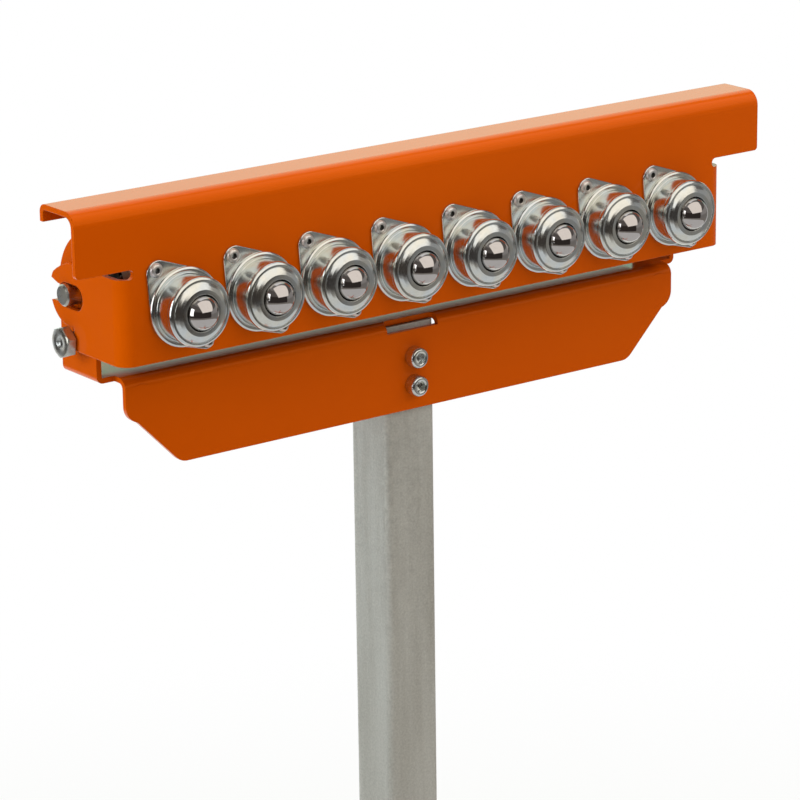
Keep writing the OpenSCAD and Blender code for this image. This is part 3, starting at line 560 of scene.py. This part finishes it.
def lock_nut():
    """Nut with the collar of its nylon ring."""
    side = hex_ring(M8_FLATS)
    rings = [(5.9, 0), (side, 0.5), (side, 5.2), (capped(side, 6.9), 5.6), (6.1, 6.0), (5.9, 7.0), (5.4, 7.8),
             (4.4, 8.0), (4.02, 7.6)]
    return turned("nut", rings, SCREW, sharp=30)


def make_screws():
    """Two cap screws in the skirt, a stop screw on each cheek, and each leg's hinge bolt and nut."""
    caps = [put(cap_screw(), (0, SKIRT_Y, z), TO_FRONT, spin) for z, spin in zip(SCREW_Z, SCREW_SPIN)]
    caps = joined("socket_cap_screws", caps)
    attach(caps, "post")
    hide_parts("bracket_screws")
    stops = [put(stop_screw(), (s * (CHEEK_X + STOP_GAP), AXLE_Y, STOP_Z), (s, 0, 0), STOP_SPIN) for s in (-1, 1)]
    stops = joined("dished_stop_screws", stops)
    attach(stops, "post")
    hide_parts("stop_pins")
    bolts, nuts = [], []
    for i in range(len(LEGS)):
        turn = Matrix.Rotation(math.pi / 2 * i, 3, "Z")
        for pieces, make, side in ((bolts, hinge_bolt, -1), (nuts, lock_nut, 1)):
            at = turn @ Vector((HINGE_R, side * HINGE_GRIP, HINGE_Z))
            pieces.append(put(make(), at, turn @ Vector((0, side, 0))))
    bolts = joined("leg_hinge_bolts", bolts)
    nuts = joined("leg_lock_nuts", nuts)
    for piece, node in ((bolts, "leg_bolts"), (nuts, "leg_nuts")):
        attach(piece, "base")
        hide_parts(node)


# Clamp knob

def grip_ring(a):
    """Radius of the knob's grip at an angle: a circle with a scallop between each two lobes."""
    step = 2 * math.pi / LOBES
    off = (a + step / 2) % step - step / 2
    inside = SCALLOP_R ** 2 - (SCALLOP_AT * math.sin(off)) ** 2
    if inside <= 0:
        return GRIP_R
    return min(GRIP_R, SCALLOP_AT * math.cos(off) - math.sqrt(inside))


def make_knob():
    """The knob along +Z: neck, grip with rounded edges, and a dished front with a boss."""
    rings = [(9.5, 0), (10.6, 0.3), (11, 1), (11, 4.6), (smaller(grip_ring, 2.2), 5.0), (smaller(grip_ring, 0.9), 5.3),
             (smaller(grip_ring, 0.25), 6.2), (grip_ring, 7.6), (grip_ring, 20.2), (smaller(grip_ring, 0.4), 21.6),
             (smaller(grip_ring, 1.3), 22.6), (smaller(grip_ring, 2.4), 23), (12.4, 23), (12, 22.7), (11.7, 20.4),
             (11.2, 20), (5.5, 20), (5.0, 20.3), (4.4, 20.9), (2.5, 21.2)]
    knob = turned("five_lobe_knob", rings, NYLON, segments=240, sharp=40)
    put(knob, KNOB_BACK, (0, 1, 0))
    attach(knob, "knob")
    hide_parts("clamp_knob")


# Finishes on the CAD nodes

def finish_nodes():
    """Gives each CAD node that stays its finish."""
    finishes = {
        ORANGE: ["head_cradle", "head_bracket", "outer_column", "clamp_weld_nut", "leg_hub"]
        + [f"leg_{n}" for n in LEGS],
        SCREW: ["bracket_nuts", "roller_axle", "axle_spacers", "stop_nuts", "clamp_screw", "roller_end_caps"],
        TUBE: ["inner_post"],
        ROLLER: ["roller_tube"],
        BALL: ["cup_seat_balls", "bearing_outer_rings", "bearing_inner_rings", "bearing_balls", "axle_clips"],
        NYLON: ["post_glide", "column_collar", "column_end_cap"],
        RUBBER: [f"foot_{n}" for n in LEGS],
    }
    for material, nodes in finishes.items():
        for node in nodes:
            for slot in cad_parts[node].material_slots:
                slot.material = material


# Studio

def bare_material(name):
    """A material with no nodes yet."""
    material = bpy.data.materials.new(name)
    material.use_nodes = True
    material.node_tree.nodes.clear()
    return material, material.node_tree


def white_to_the_camera(tree):
    """1 for camera, glossy and transmission rays, and 0 for the rays that carry light to matt surfaces."""
    path = add(tree, "ShaderNodeLightPath", {})
    seen = add(tree, "ShaderNodeMath", {"operation": "MAXIMUM"},
               {0: path.outputs["Is Camera Ray"], 1: path.outputs["Is Glossy Ray"]})
    return add(tree, "ShaderNodeMath", {"operation": "MAXIMUM"}, {0: seen, 1: path.outputs["Is Transmission Ray"]})


def make_world():
    """White to the camera and in reflections, and dimmer as the light that reaches matt surfaces."""
    world = bpy.data.worlds.new("studio")
    bpy.context.scene.world = world
    world.use_nodes = True
    tree = world.node_tree
    background = tree.nodes["Background"]
    background.inputs["Color"].default_value = (1, 1, 1, 1)
    dim, white = 0.7, 1.0
    strength = add(tree, RANGE, {"To Min": dim, "To Max": white}, {"Value": white_to_the_camera(tree)})
    tree.links.new(strength.outputs[0], background.inputs["Strength"])


def make_floor():
    """Pale matt floor that turns to plain white away from the stand."""
    half, near, far = 30, 0.7, 1.9
    mesh = bpy.data.meshes.new("floor")
    mesh.from_pydata([(-half, -half, 0), (half, -half, 0), (half, half, 0), (-half, half, 0)], [], [(0, 1, 2, 3)])
    floor = place("floor", mesh)
    material, tree = bare_material("pale_floor")
    coord = add(tree, "ShaderNodeTexCoord", {})
    away = add(tree, "ShaderNodeVectorMath", {"operation": "LENGTH"}, {0: coord.outputs["Object"]})
    fade = add(tree, RANGE, {"interpolation_type": "SMOOTHSTEP", "From Min": near, "From Max": far},
               {"Value": away.outputs["Value"]})
    factor = add(tree, "ShaderNodeMath", {"operation": "MULTIPLY"}, {0: fade, 1: white_to_the_camera(tree)})
    matt = add(tree, "ShaderNodeBsdfDiffuse", {"Color": srgb("#EDEDEB")})
    white = add(tree, "ShaderNodeEmission", {"Color": (1, 1, 1, 1), "Strength": 1.0})
    mix = add(tree, "ShaderNodeMixShader", {}, {0: factor, 1: matt, 2: white})
    add(tree, "ShaderNodeOutputMaterial", {}, {"Surface": mix})
    mesh.materials.append(material)


def reflected(name, points, faces, colour, strength):
    """A studio surface that is seen only in glossy reflections, as the photograph's balls show it."""
    material, tree = bare_material(name)
    glow = add(tree, "ShaderNodeEmission", {"Color": srgb(colour), "Strength": strength})
    add(tree, "ShaderNodeOutputMaterial", {}, {"Surface": glow})
    mesh = bpy.data.meshes.new(name)
    mesh.from_pydata(points, [], faces)
    mesh.materials.append(material)
    sheet = place(name, mesh)
    sheet.visible_camera = sheet.visible_diffuse = sheet.visible_shadow = sheet.visible_transmission = False


def curved_sheet(name, first, last, low, high, colour, glow=1.0):
    """A sheet round the stand between two angles in degrees, from a low edge (radius, height) to a high one."""
    step = 10
    steps = (last - first) // step
    turn = [math.radians(first + step * k) for k in range(steps + 1)]
    points = [(r * math.cos(a), r * math.sin(a), z) for a in turn for r, z in (low, high)]
    reflected(name, points, [(2 * k, 2 * k + 2, 2 * k + 3, 2 * k + 1) for k in range(steps)], colour, glow)


def make_curtain():
    """Round the stand: a grey floor cloth, dark and grey walls, a grey ceiling, and a pale cool wall behind it."""
    cloth, wall = 1.5, 2.2
    floor, foot, edge, ceiling = 0.02, 0.7, 1.5, 3.4
    curved_sheet("floor_cloth", 120, 380, (0, floor), (cloth, floor), "#DAD8D6")
    curved_sheet("floor_edge", 120, 380, (cloth, floor), (wall, floor), "#8E8882")
    curved_sheet("dark_wall", 120, 300, (wall, floor), (wall, edge), "#3C3633")
    curved_sheet("side_foot", 300, 380, (wall, floor), (wall, foot), "#8A8682")
    curved_sheet("side_wall", 300, 380, (wall, foot), (wall, edge), "#A29E9B")
    curved_sheet("wall_top", 120, 380, (wall, edge), (wall, ceiling), "#6A6460")
    curved_sheet("ceiling", 120, 380, (wall, ceiling), (0, ceiling), "#8F8A86")
    curved_sheet("back_wall", 20, 100, (wall, 1.05), (wall, ceiling), "#CBFFE3", 1.3)


def facing(at, target):
    """Rotation that turns a lamp's or a card's face from one place to another."""
    return (Vector(target) - Vector(at)).to_track_quat("-Z", "Y").to_euler()


def lamp(name, at, target, width, height, watts, colour):
    """An area lamp that lights matt surfaces."""
    light = bpy.data.lights.new(name, "AREA")
    light.shape = "RECTANGLE"
    light.size, light.size_y, light.energy, light.color = width, height, watts, colour
    holder = place(name, light)
    holder.location = at
    holder.rotation_euler = facing(at, target)
    holder.visible_glossy = False


def card(name, at, target, width, height, colour, glow):
    """A pale sheet with its own radiance, seen in reflections only."""
    stand = Matrix.Translation(at) @ facing(at, target).to_matrix().to_4x4()
    corners = [stand @ Vector((x * width / 2, y * height / 2, 0)) for x, y in ((-1, -1), (1, -1), (1, 1), (-1, 1))]
    reflected(name, corners, [(0, 1, 2, 3)], colour, glow)


def make_lights():
    """Three lamps, with two cards that the metal mirrors where a lamp stands."""
    head = (0, 0, 0.9)
    lamp("overhead", (0.1, 0.3, 3.2), head, 1.0, 1.0, 27, (0.85, 1.0, 0.82))
    lamp("softbox", (0.51, -0.485, 2.0), (0.426, 0.223, 1.04), 2.3, 2.1, 16.5, (1.0, 0.88, 0.83))
    card("softbox_front", (0.27, -0.85, 1.8), (0.27, -0.13, 0.84), 2.18, 1.86, "#FFF6EC", 1.3)
    lamp("left", (-1.455, 0.3, 1.2), head, 0.6, 0.8, 15.5, (0.78, 0.9, 1.0))
    card("left_softbox", (-1.45, 0.05, 1.13), head, 0.6, 0.95, "#FFFFFF", 3.0)


def make_camera():
    """The photograph's camera."""
    camera = bpy.data.cameras.new("camera")
    camera.lens = CAMERA_LENS
    camera.sensor_width = SENSOR_WIDTH
    camera.sensor_fit = "HORIZONTAL"
    camera.clip_end = 100
    back = -CAMERA_FORWARD.normalized()
    right = (CAMERA_RIGHT - back * CAMERA_RIGHT.dot(back)).normalized()
    up = back.cross(right)
    holder = place("camera", camera)
    holder.matrix_world = Matrix.Translation(CAMERA_AT) @ Matrix((right, up, back)).transposed().to_4x4()
    bpy.context.scene.camera = holder


make_ball_transfers()
make_screws()
make_knob()
finish_nodes()
make_world()
make_floor()
make_curtain()
make_lights()
make_camera()
bpy.context.scene.view_settings.view_transform = "Standard"
